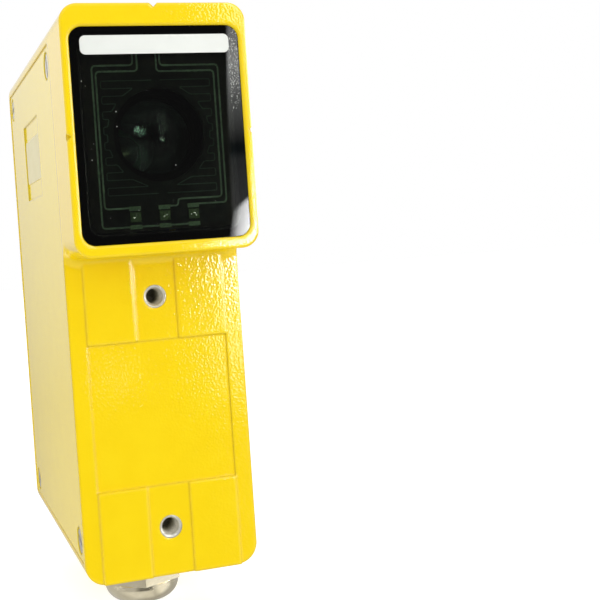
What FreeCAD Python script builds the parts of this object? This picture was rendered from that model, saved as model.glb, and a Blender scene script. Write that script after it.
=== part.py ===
import FreeCAD, Part
import math
import os

# Single-beam safety sensor, in millimetres. The front faces -Y and +Z is up.
# The origin is midway between the two fixing holes, where their chamfers end.

# Body and head of the casting
hole_pitch = 67.5
lower_hole_height = 14.0
upper_hole_drop = 12.5
head_height = 68.0
body_width = 52.0
body_depth = 105.0
head_reach = 21.0
head_corner = 5.0
body_corner = 6.0
head_root_fillet = 3.5
head_edge_round = 0.6

# Walls of the casting
front_wall = 6.0
back_wall = 4.0
side_wall = 3.5
top_wall = 5.0
floor_wall = 5.0
cavity_corner = 4.0

# Tapped fixing holes
fixing_diameter = 5.0
fixing_mouth = 6.8
fixing_depth = 12.0
fixing_boss_wall = 3.5
fixing_boss_end = 3.0

# Low relief of the front face
pad_inset = 5.1
hole_strip = 12.5
lower_pad_height = 26.4
panel_height = 42.4
pad_rise = 0.7
pad_edge_round = 0.5
panel_sink = 0.4

# Window in the head
rim_side = 2.25
rim_top = 6.2
rim_bottom = 3.2
opening_corner = 3.75
opening_bevel = 0.5
window_set_back = 0.6
window_thickness = 2.0
window_play = 0.15
window_ledge = 2.85
seal_thickness = 0.5
seal_inset = 0.6

# Sight marks for lining up the beam
groove_width = 2.45
groove_depth = 1.25
nick_height = 1.8
nick_depth = 1.1
nick_length = 1.5

# Label plates and the shallow recesses that hold them
label_thickness = 0.2
label_corner = 1.5
window_label_height = 5.1
window_label_drop = 2.45
window_label_margin = 2.9
top_recess_width = 24.0
top_recess_length = 47.0
top_recess_rim = 2.8
top_recess_depth = 2.0
top_label_margin = 1.2
pocket_length = 34.3
pocket_height = 25.4
pocket_depth = 0.45
pocket_front = 33.5
pocket_drop = 15.8
side_label_length = 32.0
side_label_height = 14.4

# Side cover, its gasket and its seat in the casting
cover_rim = 1.2
cover_end_rim = 6.0
cover_corner = 3.0
cover_thickness = 4.0
cover_sink = 0.2
cover_play = 0.2
gasket_thickness = 0.8
seat_width = 5.0
seat_thickness = 4.0
seat_corner = 4.0

# Slotted screws of the cover
screw_inset_depth = 6.8
screw_inset_height = 5.4
screw_thread = 4.0
screw_head = 7.0
screw_head_height = 2.6
screw_length = 14.0
screw_slot = 1.0
screw_slot_depth = 1.1
screw_slot_turns = (20.0, 75.0, 130.0, 160.0)
counterbore_play = 0.6
counterbore_depth = 2.8
screw_hole_play = 0.25
screw_boss_wall = 3.0
screw_boss_end = 2.0

# Running clearance of a thread or a spigot in its hole
thread_play = 0.05

# Small machine screws inside
small_thread = 3.0
small_head = 5.5
small_head_height = 2.0
small_screw_bite = 6.0
small_hole_play = 0.1
small_slot = 0.8
small_slot_depth = 0.9

# Indicator board behind the window
board_thickness = 1.6
board_gap = 0.6
board_play = 0.4
board_hole_play = 1.0
led_pitch = 8.25
led_width = 3.0
led_height = 2.7
led_base = 0.35
led_dome = 2.2
led_dome_rise = 0.3
led_rise_above_opening = 7.2
post_diameter = 5.0
post_length = 9.0
post_inset = 4.0

# Plate that carries the optics, and the round neck and the lead slot behind it
plate_thickness = 3.0
neck_play = 1.0
lead_slot_width = 14.0
lead_slot_height = 8.0

# Lens, its tube and the emitter
lens_diameter = 23.6
lens_edge = 2.2
lens_curve = 18.0
lens_play = 0.05
lens_seat_width = 2.0
lens_seat_depth = 1.3
lens_ring_thickness = 2.0
lens_ring_lip = 1.3
tube_wall = 2.2
tube_back_wall = 1.2
tube_back_length = 17.0
tube_nut_thickness = 3.0
tube_nut_wall = 3.0
tube_nut_notch = 3.0
emitter_base = 5.4
emitter_base_height = 0.6
emitter_can = 4.7
emitter_can_height = 2.6
emitter_room = 1.4
emitter_board_size = 21.0
emitter_board_corner = 1.5
emitter_screw_pitch = 15.5
emitter_screw_thread = 2.5
emitter_screw_head = 4.5
emitter_screw_head_height = 1.7
emitter_screw_bite = 5.0

# Main board on the closed side of the casting
standoff_height = 8.0
standoff_diameter = 6.5
main_board_front_gap = 16.0
main_board_back_gap = 8.0
main_board_floor_gap = 19.0
main_board_top_gap = 37.0
main_board_screw_inset = 5.0

# Parts on the main board
terminal_ways = 6
terminal_pitch = 5.08
terminal_depth = 10.0
terminal_rise = 12.0
terminal_side_gap = 11.0
terminal_floor_gap = 4.0
terminal_screw = 3.6
terminal_screw_height = 3.0
terminal_well_depth = 5.0
terminal_entry = 3.4
terminal_entry_depth = 6.0
terminal_entry_rise = 3.0
capacitor_diameter = 10.0
capacitor_height = 15.0
capacitor_pitch = 13.0
capacitor_groove = 0.6
capacitor_groove_rise = 2.4
coil_diameter = 22.0
coil_bore = 9.0
coil_height = 10.0
coil_chamfer = 1.8
chip_size = 14.0
chip_height = 2.0
part_row_gap = 6.0

# Cable gland below the body
gland_behind_face = 46.0
gland_thread = 20.0
gland_across_flats = 24.0
hex_chamfer_angle = 30.0
gland_boss_wall = 4.0
gland_boss_height = 6.0
gland_washer_thickness = 1.2
gland_washer_play = 0.3
gland_flange_height = 5.0
gland_bore = 13.0
gland_spigot = 18.8
gland_spigot_length = 7.8
gland_body_turn = 22.0
nut_gap = 0.3
nut_hex_height = 7.5
nut_collar = 24.6
nut_collar_height = 0.8
nut_dome_height = 5.7
nut_mouth = 15.0
nut_turn = 7.0
nut_cable_hole = 12.0
nut_lip = 2.0
nut_bore_play = 0.1
nut_bore_past_spigot = 1.0
seal_bore = 10.0
seal_wall = 3.0
seal_socket_depth = 6.5
seal_socket_play = 0.05
seal_stand_out = 2.2
seal_taper = 1.0

# Levels that follow from the sizes above
base_z = -(lower_hole_height + hole_pitch / 2)
head_z = hole_pitch / 2 + upper_hole_drop
top_z = head_z + head_height
half_width = body_width / 2
front_y = (fixing_diameter - fixing_mouth) / 2
back_y = front_y + body_depth
face_y = front_y - head_reach
opening_half = half_width - rim_side
opening_low = head_z + rim_bottom
opening_high = top_z - rim_top
beam_z = (opening_low + opening_high) / 2
throat_half = opening_half - window_ledge
throat_low = opening_low + window_ledge
throat_high = opening_high - window_ledge
window_y = face_y + window_set_back
window_back_y = window_y + window_thickness
ledge_y = window_back_y + seal_thickness
board_y = ledge_y + board_gap
board_back_y = board_y + board_thickness
plate_y = board_back_y + post_length
plate_back_y = plate_y + plate_thickness
cover_x = -half_width + cover_sink
cover_back_x = cover_x + cover_thickness
seat_x = cover_back_x + gasket_thickness
cavity_x = seat_x + seat_thickness
cavity_right = half_width - side_wall
cavity_low = base_z + floor_wall
cavity_high = top_z - top_wall
cavity_front = front_y + front_wall
cavity_back = back_y - back_wall
cover_front = front_y + cover_rim
cover_rear = back_y - cover_rim
cover_low = base_z + cover_end_rim
cover_high = top_z - cover_end_rim
main_board_x = cavity_right - standoff_height - board_thickness
main_board_front = cavity_front + main_board_front_gap
main_board_rear = cavity_back - main_board_back_gap
main_board_low = cavity_low + main_board_floor_gap
main_board_high = cavity_high - main_board_top_gap
lens_radius = lens_diameter / 2
tube_front_y = plate_y - lens_ring_thickness - lens_edge - lens_seat_depth
tube_rear_y = plate_y + tube_back_length
tube_back_radius = lens_radius - lens_seat_width + tube_back_wall
tube_nut_radius = tube_back_radius + tube_nut_wall
gland_y = front_y + gland_behind_face

X = FreeCAD.Vector(1, 0, 0)
Y = FreeCAD.Vector(0, 1, 0)
Z = FreeCAD.Vector(0, 0, 1)
same_place = 1e-6


# Shared shapes
def point(plane, at, u, v):
    if plane == "xz":
        return FreeCAD.Vector(u, at, v)
    if plane == "yz":
        return FreeCAD.Vector(at, u, v)
    return FreeCAD.Vector(u, v, at)


def block(x0, x1, y0, y1, z0, z1):
    return Part.makeBox(x1 - x0, y1 - y0, z1 - z0, FreeCAD.Vector(x0, y0, z0))


def rounded_outline(plane, at, u0, u1, v0, v1, low_radius, high_radius=None):
    """A rectangle with rounded corners, drawn in a plane."""
    high_radius = low_radius if high_radius is None else high_radius
    corners = ((u1, v0, -1, 1, low_radius), (u1, v1, -1, -1, high_radius),
               (u0, v1, 1, -1, high_radius), (u0, v0, 1, 1, low_radius))
    diagonal = 1 - math.sqrt(0.5)
    arcs = []
    for index, (u, v, along_u, along_v, radius) in enumerate(corners):
        on_side = point(plane, at, u + along_u * radius, v)
        on_end = point(plane, at, u, v + along_v * radius)
        middle = point(plane, at, u + along_u * radius * diagonal, v + along_v * radius * diagonal)
        start, end = (on_side, on_end) if index % 2 == 0 else (on_end, on_side)
        arcs.append(Part.Arc(start, middle, end))
    edges = []
    for arc, following in zip(arcs, arcs[1:] + arcs[:1]):
        edges.append(arc.toShape())
        edges.append(Part.makeLine(arc.EndPoint, following.StartPoint))
    return Part.Wire(edges)


def rounded_plate(plane, at, depth, u0, u1, v0, v1, low_radius, high_radius=None):
    """A plate with rounded corners, thickened along the plane's normal."""
    outline = rounded_outline(plane, at, u0, u1, v0, v1, low_radius, high_radius)
    normal = {"xz": Y, "yz": X, "xy": Z}[plane]
    return Part.Face(outline).extrude(normal * depth)


def rod_x(y, z, radius, x0, x1):
    return Part.makeCylinder(radius, x1 - x0, FreeCAD.Vector(x0, y, z), X)


def rod_y(x, z, radius, y0, y1):
    return Part.makeCylinder(radius, y1 - y0, FreeCAD.Vector(x, y0, z), Y)


def rod_z(x, y, radius, z0, z1):
    return Part.makeCylinder(radius, z1 - z0, FreeCAD.Vector(x, y, z0), Z)


def turned(profile, axis, through):
    """A turned piece: (radius, distance along the axis) points, spun about the axis."""
    across = X if axis == Z else Z
    points = [through + across * radius + axis * along for radius, along in profile]
    face = Part.Face(Part.makePolygon(points + points[:1]))
    return face.revolve(through, axis, 360)


def hexagon(across_flats, z0, z1, turn):
    """A hexagon bar on the gland's axis, with one corner turned from -Y towards -X."""
    radius = across_flats / math.sqrt(3)
    corners = []
    for step in range(6):
        angle = math.radians(60 * step - 90 - turn)
        across = X * (radius * math.cos(angle))
        back = Y * (radius * math.sin(angle))
        corners.append(gland_point(z0) + across + back)
    return Part.Face(Part.makePolygon(corners + corners[:1])).extrude(Z * (z1 - z0))


def slotted_screw(head, head_height, thread, length, slot, slot_depth, turn):
    """A cheese-head screw standing along +X, with its head's underside at the origin."""
    body = rod_x(0, 0, head / 2, -head_height, 0).fuse(rod_x(0, 0, thread / 2 - thread_play, 0, length))
    groove = block(-head_height, -head_height + slot_depth, -head, head, -slot / 2, slot / 2)
    groove.rotate(FreeCAD.Vector(0, 0, 0), X, turn)
    return body.cut(groove)


def placed(shape, x, y, z):
    shape.translate(FreeCAD.Vector(x, y, z))
    return shape


def edges_at_y(shape, y):
    """The edges that lie wholly in one plane across Y."""
    return [e for e in shape.Edges if all(abs(v.Y - y) < same_place for v in e.Vertexes)]


def save(name, *solids):
    shape = solids[0] if len(solids) == 1 else Part.makeCompound(list(solids))
    shape.exportStep("parts/" + name + ".step")


# Places that several pieces share
def cover_screw_places():
    for y in (cover_front + screw_inset_depth, cover_rear - screw_inset_depth):
        for z in (cover_low + screw_inset_height, cover_high - screw_inset_height):
            yield y, z


def post_places():
    for x in (-throat_half + post_inset, throat_half - post_inset):
        for z in (throat_low + post_inset, throat_high - post_inset):
            yield x, z


def lead_slot(y0, y1):
    """The way for the leads, along the bottom of the head's chamber."""
    half = lead_slot_width / 2
    return block(-half, half, y0, y1, throat_low, throat_low + lead_slot_height)


def standoff_places():
    for y in (main_board_front + main_board_screw_inset, main_board_rear - main_board_screw_inset):
        for z in (main_board_low + main_board_screw_inset, main_board_high - main_board_screw_inset):
            yield y, z


def emitter_screw_places():
    return -emitter_screw_pitch / 2, emitter_screw_pitch / 2


def gland_point(z):
    return FreeCAD.Vector(0, gland_y, z)


# Casting
def outer_form():
    """The body, with the head standing out of it on a concave fillet."""
    body = rounded_plate("xz", front_y, body_depth, -half_width, half_width,
                         base_z, top_z, body_corner, head_corner)
    head = rounded_plate("xz", face_y, cavity_front - face_y, -half_width, half_width,
                         head_z, top_z, head_corner)
    head = head.makeFillet(head_edge_round, edges_at_y(head, face_y))
    backing = block(-body_width, body_width, front_y, cavity_front,
                    head_z - head_height, top_z + head_height)
    joined = head.fuse(backing)
    root = [e for e in edges_at_y(joined, front_y) if abs(e.Vertexes[0].X) < body_width - same_place]
    flared = joined.makeFillet(head_root_fillet, root)
    envelope = rounded_plate("xz", face_y, cavity_front - face_y, -half_width, half_width,
                             base_z, top_z, body_corner, head_corner)
    return body.fuse(flared.common(envelope))


def front_pads():
    """Four low pads with rounded edges that the bracket bears on, two beside each fixing hole."""
    pad_y = front_y - pad_rise
    outline = rounded_plate("xz", pad_y, pad_rise, -half_width, half_width, base_z, top_z, body_corner)
    upper_pad_low = base_z + lower_pad_height + panel_height
    pads = []
    for low, high in ((base_z - pad_edge_round, base_z + lower_pad_height), (upper_pad_low, head_z)):
        for side in (-1, 1):
            inner = side * hole_strip / 2
            outer = side * (half_width - pad_inset)
            pad = block(min(inner, outer), max(inner, outer), pad_y, front_y, low, high)
            pads.append(pad.makeFillet(pad_edge_round, edges_at_y(pad, pad_y)))
    return Part.makeCompound(pads).common(outline)


def front_panel():
    """The shallow panel between the lower and the upper pads."""
    low = base_z + lower_pad_height
    half = half_width - pad_inset
    return block(-half, half, front_y, front_y + panel_sink, low, low + panel_height)


def seat_mouth(x0, x1):
    """The opening inside the cover's seat, with its corners kept for the screws."""
    mouth = rounded_plate("yz", x0, x1 - x0, cover_front + seat_width, cover_rear - seat_width,
                          cover_low + seat_width, cover_high - seat_width, seat_corner)
    boss_radius = screw_thread / 2 + screw_boss_wall
    return mouth.cut([rod_x(y, z, boss_radius, x0, x1) for y, z in cover_screw_places()])


def cavity():
    """The hollow of the body, the rebate for the cover, and the head's chamber with its neck and slot."""
    inside = rounded_plate("yz", cavity_x, cavity_right - cavity_x, cavity_front, cavity_back,
                           cavity_low, cavity_high, cavity_corner)
    rebate = rounded_plate("yz", -half_width, seat_x + half_width,
                           cover_front - cover_play, cover_rear + cover_play,
                           cover_low - cover_play, cover_high + cover_play, cover_corner)
    chamber = rounded_plate("xz", face_y, plate_back_y - face_y, -throat_half, throat_half,
                            throat_low, throat_high, opening_corner)
    neck = rod_y(0, beam_z, tube_nut_radius + neck_play, plate_back_y, cavity_front)
    slot = lead_slot(plate_back_y, cavity_front)
    return [inside, rebate, seat_mouth(seat_x, cavity_x), chamber, neck, slot]


def window_pocket():
    """The pocket that the window sits in, with a bevelled mouth."""
    pocket = rounded_plate("xz", face_y, ledge_y - face_y, -opening_half, opening_half,
                           opening_low, opening_high, opening_corner)
    mouth = rounded_outline("xz", face_y, -opening_half - opening_bevel, opening_half + opening_bevel,
                            opening_low - opening_bevel, opening_high + opening_bevel,
                            opening_corner + opening_bevel)
    throat = rounded_outline("xz", face_y + opening_bevel, -opening_half, opening_half,
                             opening_low, opening_high, opening_corner)
    return pocket.fuse(Part.makeLoft([mouth, throat], True, True))


def inner_bosses():
    """Bosses for the fixing holes, the gland, the cover's screws and the main board."""
    bosses = []
    for z in (-hole_pitch / 2, hole_pitch / 2):
        radius = fixing_diameter / 2 + fixing_boss_wall
        bosses.append(rod_y(0, z, radius, front_y, front_y + fixing_depth + fixing_boss_end))
    gland_radius = gland_thread / 2 + gland_boss_wall
    bosses.append(rod_z(0, gland_y, gland_radius, base_z, cavity_low + gland_boss_height))
    boss_end = cover_x + counterbore_depth + screw_length + screw_boss_end
    for y, z in cover_screw_places():
        bosses.append(rod_x(y, z, screw_thread / 2 + screw_boss_wall, seat_x, boss_end))
    in_wall = half_width - side_wall / 2
    for y, z in standoff_places():
        bosses.append(rod_x(y, z, standoff_diameter / 2, main_board_x + board_thickness, in_wall))
    return bosses


def v_groove(root, first, second, length):
    """A V-shaped cut that runs back from the head's face, from its (x, z) root and its two edges."""
    corners = [point("xz", face_y, x, z) for x, z in (root, first, second, root)]
    return Part.Face(Part.makePolygon(corners)).extrude(Y * length)


def sight_marks():
    """The groove along the top and the nicks beside the window, on the beam's planes."""
    half = groove_width / 2
    marks = [v_groove((0, top_z - groove_depth), (-half, top_z), (half, top_z), head_reach + body_depth)]
    low = beam_z - nick_height / 2
    high = beam_z + nick_height / 2
    for side in (-1, 1):
        outer = side * half_width
        root = (side * (half_width - nick_depth), beam_z)
        marks.append(v_groove(root, (outer, low), (outer, high), nick_length))
    return marks


def top_recess():
    half = top_recess_width / 2
    rear = back_y - top_recess_rim
    return block(-half, half, rear - top_recess_length, rear, top_z - top_recess_depth, top_z)


def tapped_holes():
    """Blind holes for the fixing screws, the cover's screws and the small screws, and the gland's hole."""
    holes = []
    bore = fixing_diameter / 2
    mouth = fixing_mouth / 2
    for z in (-hole_pitch / 2, hole_pitch / 2):
        holes.append(rod_y(0, z, bore, front_y - pad_rise, front_y + fixing_depth))
        holes.append(Part.makeCone(mouth, bore, mouth - bore, FreeCAD.Vector(0, front_y, z), Y))
    screw_end = cover_x + counterbore_depth + screw_length
    for y, z in cover_screw_places():
        holes.append(rod_x(y, z, screw_thread / 2, seat_x, screw_end))
    board_back_x = main_board_x + board_thickness
    for y, z in standoff_places():
        holes.append(rod_x(y, z, small_thread / 2, board_back_x, board_back_x + small_screw_bite))
    for x, z in post_places():
        holes.append(rod_y(x, z, small_thread / 2, plate_back_y, plate_back_y + small_screw_bite))
    holes.append(rod_z(0, gland_y, gland_thread / 2, base_z, cavity_low + gland_boss_height))
    return holes


def housing():
    form = outer_form().fuse(front_pads())
    form = form.cut([front_panel(), window_pocket(), top_recess()] + sight_marks())
    shell = form.cut(cavity()).fuse(inner_bosses())
    return shell.cut(tapped_holes()).removeSplitter()


# Side cover
def side_cover():
    plate = rounded_plate("yz", cover_x, cover_thickness, cover_front, cover_rear,
                          cover_low, cover_high, cover_corner - cover_play)
    pocket_low = cover_high - pocket_drop - pocket_height
    pocket_start = cover_front + pocket_front
    cuts = [block(cover_x, cover_x + pocket_depth, pocket_start, pocket_start + pocket_length,
                  pocket_low, pocket_low + pocket_height)]
    for y, z in cover_screw_places():
        cuts.append(rod_x(y, z, screw_head / 2 + counterbore_play, cover_x, cover_x + counterbore_depth))
        cuts.append(rod_x(y, z, screw_thread / 2 + screw_hole_play, cover_x, cover_back_x))
    return plate.cut(cuts)


def cover_gasket():
    sheet = rounded_plate("yz", cover_back_x, gasket_thickness, cover_front, cover_rear,
                          cover_low, cover_high, cover_corner - cover_play)
    cuts = [seat_mouth(cover_back_x, seat_x)]
    for y, z in cover_screw_places():
        cuts.append(rod_x(y, z, screw_thread / 2 + screw_hole_play, cover_back_x, seat_x))
    return sheet.cut(cuts)


def cover_screws():
    screws = []
    for turn, (y, z) in zip(screw_slot_turns, cover_screw_places()):
        screw = slotted_screw(screw_head, screw_head_height, screw_thread, screw_length,
                              screw_slot, screw_slot_depth, turn)
        screws.append(placed(screw, cover_x + counterbore_depth, y, z))
    return screws


# Window and label plates
def pane(y, thickness):
    """A plate that fills the window's pocket."""
    half = opening_half - window_play
    return rounded_plate("xz", y, thickness, -half, half,
                         opening_low + window_play, opening_high - window_play, opening_corner - window_play)


def front_window():
    return pane(window_y, window_thickness)


def window_seal():
    half = throat_half + seal_inset
    hole = rounded_plate("xz", window_back_y, seal_thickness, -half, half,
                         throat_low - seal_inset, throat_high + seal_inset, opening_corner)
    return pane(window_back_y, seal_thickness).cut(hole)


def window_label():
    half = opening_half - window_label_margin
    high = opening_high - window_label_drop
    return rounded_plate("xz", window_y - label_thickness, label_thickness, -half, half,
                         high - window_label_height, high, label_corner)


def side_label():
    middle_y = cover_front + pocket_front + pocket_length / 2
    middle_z = cover_high - pocket_drop - pocket_height / 2
    return rounded_plate("yz", cover_x + pocket_depth - label_thickness, label_thickness,
                         middle_y - side_label_length / 2, middle_y + side_label_length / 2,
                         middle_z - side_label_height / 2, middle_z + side_label_height / 2, label_corner)


def top_label():
    half = top_recess_width / 2 - top_label_margin
    rear = back_y - top_recess_rim - top_label_margin
    return rounded_plate("xy", top_z - top_recess_depth, label_thickness, -half, half,
                         rear - top_recess_length + 2 * top_label_margin, rear, label_corner)


# Indicator board
def chamber_plate(y, thickness):
    """A plate that fills the head's chamber."""
    half = throat_half - board_play
    return rounded_plate("xz", y, thickness, -half, half, throat_low + board_play, throat_high - board_play,
                         opening_corner - board_play)


def front_board():
    hole = rod_y(0, beam_z, lens_radius + board_hole_play, board_y, board_back_y)
    return chamber_plate(board_y, board_thickness).cut(hole)


def indicator_leds():
    """Flat diodes with a low domed lens, in a row below the lens."""
    leds = []
    middle_z = opening_low + led_rise_above_opening
    for step in (-1, 0, 1):
        x = step * led_pitch
        base = block(x - led_width / 2, x + led_width / 2, board_y - led_base, board_y,
                     middle_z - led_height / 2, middle_z + led_height / 2)
        radius = (led_dome ** 2 / 4 + led_dome_rise ** 2) / (2 * led_dome_rise)
        apex_y = board_y - led_base - led_dome_rise
        ball = Part.makeSphere(radius, FreeCAD.Vector(x, apex_y + radius, middle_z))
        leds.append(base.fuse(ball.common(rod_y(x, middle_z, led_dome / 2, apex_y, board_y))))
    return leds


def board_posts():
    """Posts soldered to the indicator board, with studs through the plate into the casting."""
    posts = []
    stud = small_thread / 2 - thread_play
    stud_end = plate_back_y + small_screw_bite
    for x, z in post_places():
        profile = [(0, board_back_y), (post_diameter / 2, board_back_y), (post_diameter / 2, plate_y),
                   (stud, plate_y), (stud, stud_end), (0, stud_end)]
        posts.append(turned(profile, Y, FreeCAD.Vector(x, 0, z)))
    return posts


# Optics
def optic_plate():
    tube_hole = rod_y(0, beam_z, tube_back_radius + thread_play, plate_y, plate_back_y)
    cuts = [tube_hole, lead_slot(plate_y, plate_back_y)]
    for x, z in post_places():
        cuts.append(rod_y(x, z, small_thread / 2 + small_hole_play, plate_y, plate_back_y))
    return chamber_plate(plate_y, plate_thickness).cut(cuts)


def lens_tube():
    """The tube that holds the lens in front and the emitter behind, with a tapered bore."""
    seat_radius = lens_radius - lens_seat_width
    rear_radius = emitter_base / 2 + emitter_room
    front_radius = lens_radius + tube_wall
    bore_radius = lens_radius + lens_play
    seat_y = plate_y - lens_seat_depth
    bite_y = tube_rear_y - emitter_screw_bite
    profile = [(bore_radius, tube_front_y), (front_radius, tube_front_y), (front_radius, plate_y),
               (tube_back_radius, plate_y), (tube_back_radius, tube_rear_y), (rear_radius, tube_rear_y),
               (rear_radius, bite_y), (seat_radius, seat_y), (bore_radius, seat_y)]
    tube = turned(profile, Y, FreeCAD.Vector(0, 0, beam_z))
    holes = [rod_y(x, beam_z, emitter_screw_thread / 2, bite_y, tube_rear_y) for x in emitter_screw_places()]
    return tube.cut(holes)


def lens():
    """A plano-convex lens with its domed side to the front."""
    edge_front = plate_y - lens_seat_depth - lens_edge
    edge_back = plate_y - lens_seat_depth
    rise = lens_curve - math.sqrt(lens_curve ** 2 - lens_radius ** 2)
    centre = FreeCAD.Vector(0, edge_front - rise + lens_curve, beam_z)
    dome = Part.makeSphere(lens_curve, centre)
    return rod_y(0, beam_z, lens_radius, edge_front - rise, edge_back).common(dome)


def lens_ring():
    ring = rod_y(0, beam_z, lens_radius, tube_front_y, tube_front_y + lens_ring_thickness)
    return ring.cut(dome_clearance())


def dome_clearance():
    """The room that the lens's dome takes in its ring."""
    edge_front = tube_front_y + lens_ring_thickness
    rise = lens_curve - math.sqrt(lens_curve ** 2 - lens_radius ** 2)
    centre = FreeCAD.Vector(0, edge_front - rise + lens_curve, beam_z)
    opening = rod_y(0, beam_z, lens_radius - lens_ring_lip, tube_front_y, edge_front)
    return opening.fuse(Part.makeSphere(lens_curve + lens_play, centre))


def tube_nut():
    """The slotted ring that clamps the tube to the plate."""
    inner = tube_back_radius + thread_play
    outer = tube_nut_radius
    back = plate_back_y + tube_nut_thickness
    ring = rod_y(0, beam_z, outer, plate_back_y, back)
    half = tube_nut_notch / 2
    notches = [block(-outer, outer, back - half, back, beam_z - half, beam_z + half),
               block(-half, half, back - half, back, beam_z - outer, beam_z + outer)]
    return ring.cut([rod_y(0, beam_z, inner, plate_back_y, back)] + notches)


def emitter_diode():
    """A metal-can diode with a domed lens, standing on the emitter board."""
    can = emitter_can / 2
    base_front = tube_rear_y - emitter_base_height
    can_front = base_front - emitter_can_height
    body = rod_y(0, beam_z, emitter_base / 2, base_front, tube_rear_y)
    body = body.fuse(rod_y(0, beam_z, can, can_front, base_front))
    return body.fuse(Part.makeSphere(can, FreeCAD.Vector(0, can_front, beam_z)))


def emitter_board():
    half = emitter_board_size / 2
    board = rounded_plate("xz", tube_rear_y, board_thickness, -half, half,
                          beam_z - half, beam_z + half, emitter_board_corner)
    radius = emitter_screw_thread / 2 + small_hole_play
    back = tube_rear_y + board_thickness
    return board.cut([rod_y(x, beam_z, radius, tube_rear_y, back) for x in emitter_screw_places()])


def emitter_screws():
    screws = []
    length = board_thickness + emitter_screw_bite
    for x in emitter_screw_places():
        screw = slotted_screw(emitter_screw_head, emitter_screw_head_height, emitter_screw_thread, length,
                              small_slot, small_slot_depth, 0)
        screw.rotate(FreeCAD.Vector(0, 0, 0), Z, -90)
        screws.append(placed(screw, x, tube_rear_y + board_thickness, beam_z))
    return screws


# Main board and the parts on it
def main_board():
    back_x = main_board_x + board_thickness
    board = block(main_board_x, back_x, main_board_front, main_board_rear, main_board_low, main_board_high)
    radius = small_thread / 2 + small_hole_play
    return board.cut([rod_x(y, z, radius, main_board_x, back_x) for y, z in standoff_places()])


def main_board_screws():
    screws = []
    length = board_thickness + small_screw_bite
    for y, z in standoff_places():
        screw = slotted_screw(small_head, small_head_height, small_thread, length,
                              small_slot, small_slot_depth, 0)
        screws.append(placed(screw, main_board_x, y, z))
    return screws


def terminal_places():
    start = main_board_front + terminal_side_gap
    for way in range(terminal_ways):
        yield start + (way + 0.5) * terminal_pitch


def terminal_block():
    """A row of clamps with the wire entries below and the screws towards the cover."""
    start = main_board_front + terminal_side_gap
    end = start + terminal_ways * terminal_pitch
    low = main_board_low + terminal_floor_gap
    top_x = main_board_x - terminal_rise
    body = block(top_x, main_board_x, start, end, low, low + terminal_depth)
    cuts = []
    for y in terminal_places():
        entry_x = main_board_x - terminal_entry_rise
        cuts.append(block(entry_x - terminal_entry, entry_x, y - terminal_entry / 2, y + terminal_entry / 2,
                          low, low + terminal_entry_depth))
        cuts.append(rod_x(y, low + terminal_depth / 2, terminal_screw / 2 + small_hole_play,
                          top_x, top_x + terminal_well_depth))
    return body.cut(cuts)


def terminal_screws():
    screws = []
    z = main_board_low + terminal_floor_gap + terminal_depth / 2
    floor_x = main_board_x - terminal_rise + terminal_well_depth
    for y in terminal_places():
        head = rod_x(y, z, terminal_screw / 2, floor_x - terminal_screw_height, floor_x)
        slot_x = floor_x - terminal_screw_height
        slot = block(slot_x, slot_x + small_slot_depth, y - terminal_screw, y + terminal_screw,
                     z - small_slot / 2, z + small_slot / 2)
        screws.append(head.cut(slot))
    return screws


def capacitor_z():
    terminal_top = main_board_low + terminal_floor_gap + terminal_depth
    return terminal_top + part_row_gap + capacitor_diameter / 2


def filter_capacitors():
    """Cans with the rolled groove near the foot."""
    cans = []
    radius = capacitor_diameter / 2
    for step in (0, 1):
        y = main_board_front + terminal_side_gap + radius + step * capacitor_pitch
        foot = main_board_x
        top = foot - capacitor_height
        groove = foot - capacitor_groove_rise
        waist = radius - capacitor_groove
        profile = [(0, foot), (radius, foot), (radius, groove + capacitor_groove), (waist, groove),
                   (radius, groove - capacitor_groove), (radius, top + capacitor_groove),
                   (waist, top), (0, top)]
        cans.append(turned(profile, X, FreeCAD.Vector(0, y, capacitor_z())))
    return cans


def coil_z():
    return capacitor_z() + capacitor_diameter / 2 + part_row_gap + coil_diameter / 2


def board_middle_y():
    return (main_board_front + main_board_rear) / 2


def power_coil():
    """A ring choke lying flat on the board."""
    y, z = board_middle_y(), coil_z()
    ring = rod_x(y, z, coil_diameter / 2, main_board_x - coil_height, main_board_x)
    ring = ring.cut(rod_x(y, z, coil_bore / 2, main_board_x - coil_height, main_board_x))
    top_x = main_board_x - coil_height
    circles = [e for e in ring.Edges if isinstance(e.Curve, Part.Circle)]
    rims = [e for e in circles if abs(e.Vertexes[0].X - top_x) < same_place]
    return ring.makeChamfer(coil_chamfer, rims)


def controller_chip():
    y = board_middle_y()
    z = coil_z() + coil_diameter / 2 + part_row_gap + chip_size / 2
    half = chip_size / 2
    return block(main_board_x - chip_height, main_board_x, y - half, y + half, z - half, z + half)


# Cable gland
def gland_levels():
    """The underside of the washer, of the flange and of the spigot."""
    flange_high = base_z - gland_washer_thickness
    flange_low = flange_high - gland_flange_height
    return flange_high, flange_low, flange_low - gland_spigot_length


def chamfered_hexagon(z0, z1, turn, both_ends):
    """A hexagon bar whose corners are turned off at the top, or at both ends."""
    flat = gland_across_flats / 2
    corner = gland_across_flats / math.sqrt(3)
    drop = (corner - flat) * math.tan(math.radians(hex_chamfer_angle))
    low = [(flat, z0), (corner, z0 + drop)] if both_ends else [(corner, z0)]
    profile = [(0, z0)] + low + [(corner, z1 - drop), (flat, z1), (0, z1)]
    return hexagon(gland_across_flats, z0, z1, turn).common(turned(profile, Z, gland_point(0)))


def gland_washer():
    z0 = base_z - gland_washer_thickness
    ring = rod_z(0, gland_y, gland_across_flats / 2, z0, base_z)
    return ring.cut(rod_z(0, gland_y, gland_thread / 2 + gland_washer_play, z0, base_z))


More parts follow.
